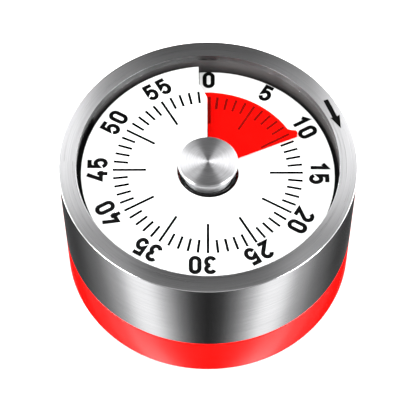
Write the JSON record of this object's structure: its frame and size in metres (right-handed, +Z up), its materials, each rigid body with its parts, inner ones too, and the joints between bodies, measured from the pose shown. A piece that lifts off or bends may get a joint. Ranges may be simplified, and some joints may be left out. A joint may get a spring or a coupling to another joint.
{
  "type": "kitchen timer",
  "caption": "Round sixty-minute mechanical kitchen timer: a steel ring and window turn a red film over a white dial on a red base.",
  "frame": {"origin": "centre of the underside, on the surface it stands on", "axes": "+Z up along the axis of the dial; +Y to the 0-minute mark, +X to the 15-minute mark"},
  "size_m": [0.08, 0.08, 0.0444],
  "materials": {
    "red_plastic": "gloss moulded",
    "steel_brushed": "brushed around the axis",
    "steel_polished": "spun and polished",
    "clear_plastic": "clear moulded",
    "white_print": "matt white sheet",
    "red_film": "translucent red sheet",
    "grey_plastic": "matt dark grey",
    "black_plastic": "matt black moulded",
    "white_acetal": "natural acetal",
    "rubber_black": "matt rubber",
    "brass": "turned",
    "steel_plain": "plain steel",
    "spring_steel": "blued strip"
  },
  "bodies": {
    "base": {"base_cup": "red_plastic", "bottom_cover": "grey_plastic", "foot_ring": "rubber_black", "cover_screws": "steel_plain", "housing_screws": "steel_plain", "glide_ring": "white_acetal", "movement_housing": "black_plastic", "wall_liner": "grey_plastic", "bell_cup": "steel_polished", "bell_post": "brass", "bell_nut": "brass", "lower_plate": "brass", "upper_plate": "brass", "plate_pillars": "steel_plain", "upper_pillar_screws": "steel_plain", "lower_pillar_screws": "steel_plain", "train_bushes": "brass", "main_bushes": "brass", "dial_plate": "white_print", "dial_carrier": "black_plastic", "carrier_screws": "steel_plain", "mainspring": "spring_steel", "spring_post": "steel_plain", "hammer_stud": "steel_plain"},
    "setter": {"steel_sleeve": "steel_brushed", "sleeve_carrier": "black_plastic", "window": "clear_plastic", "knob_cap": "steel_polished", "knob_neck": "steel_polished", "knob_stud": "steel_plain", "drive_hub": "black_plastic", "main_arbor": "steel_plain", "ratchet_wheel": "steel_plain", "strike_cam": "white_acetal"},
    "film": {"red_film": "red_film", "film_hub": "black_plastic"},
    "main_wheel_unit": {"main_wheel": "brass", "click_stud": "steel_plain"},
    "click": {"ratchet_click": "steel_plain"},
    "second_unit": {"second_wheel": "brass", "second_pinion": "steel_plain"},
    "third_unit": {"third_wheel": "brass", "third_pinion": "steel_plain"},
    "escape_unit": {"escape_wheel": "brass", "escape_pinion": "steel_plain"},
    "balance": {"pallet_lever": "steel_plain", "pallet_pins": "steel_plain", "balance_wheel": "brass", "balance_staff": "steel_plain"},
    "hammer": {"hammer_lever": "steel_plain", "hammer_rod": "steel_plain", "hammer_head": "brass"}
  },
  "joints": [
    {"name": "setting", "type": "hinge", "parent": "base", "child": "setter", "pos_m": [0, 0, 0.0444], "axis": [0, 0, -1], "range_deg": [-64.5, 295.5]},
    {"name": "film_lift", "type": "slide", "parent": "setter", "child": "film", "axis": [0, 0, 1], "range_m": [-0.0005, 0.0023]},
    {"name": "main_wheel_turn", "type": "hinge", "parent": "base", "child": "main_wheel_unit", "pos_m": [0, 0, 0.0235], "axis": [0, 0, -1], "range_deg": [-64.5, 295.5]},
    {"name": "click_lift", "type": "hinge", "parent": "main_wheel_unit", "child": "click", "pos_m": [-0.00187, 0.0088, 0.0223], "axis": [0, 0, 1], "range_deg": [0, 8]},
    {"name": "second_turn", "type": "hinge", "parent": "base", "child": "second_unit", "pos_m": [0.01559, -0.009, 0.022], "axis": [0, 0, -1], "range_deg": [-2364, 516]},
    {"name": "third_turn", "type": "hinge", "parent": "base", "child": "third_unit", "pos_m": [0.0097, -0.01974, 0.022], "axis": [0, 0, -1], "range_deg": [-3096, 14184]},
    {"name": "escape_turn", "type": "hinge", "parent": "base", "child": "escape_unit", "pos_m": [0.00109, -0.02398, 0.022], "axis": [0, 0, -1], "range_deg": [-70920, 15480]},
    {"name": "balance_swing", "type": "hinge", "parent": "base", "child": "balance", "pos_m": [-0.00758, -0.02277, 0.022], "axis": [0, 0, 1], "range_deg": [-5, 5]},
    {"name": "hammer_swing", "type": "hinge", "parent": "base", "child": "hammer", "pos_m": [-0.00462, 0.01269, 0.027], "axis": [0, 0, 1], "range_deg": [-12, 0]}
  ],
  "couplings": [
    {"joint": "film_lift", "follows": "setting", "m_per_rad": 0.00044563},
    {"joint": "main_wheel_turn", "follows": "setting", "ratio": 1},
    {"joint": "second_turn", "follows": "setting", "ratio": -8},
    {"joint": "third_turn", "follows": "setting", "ratio": 48},
    {"joint": "escape_turn", "follows": "setting", "ratio": -240}
  ]
}
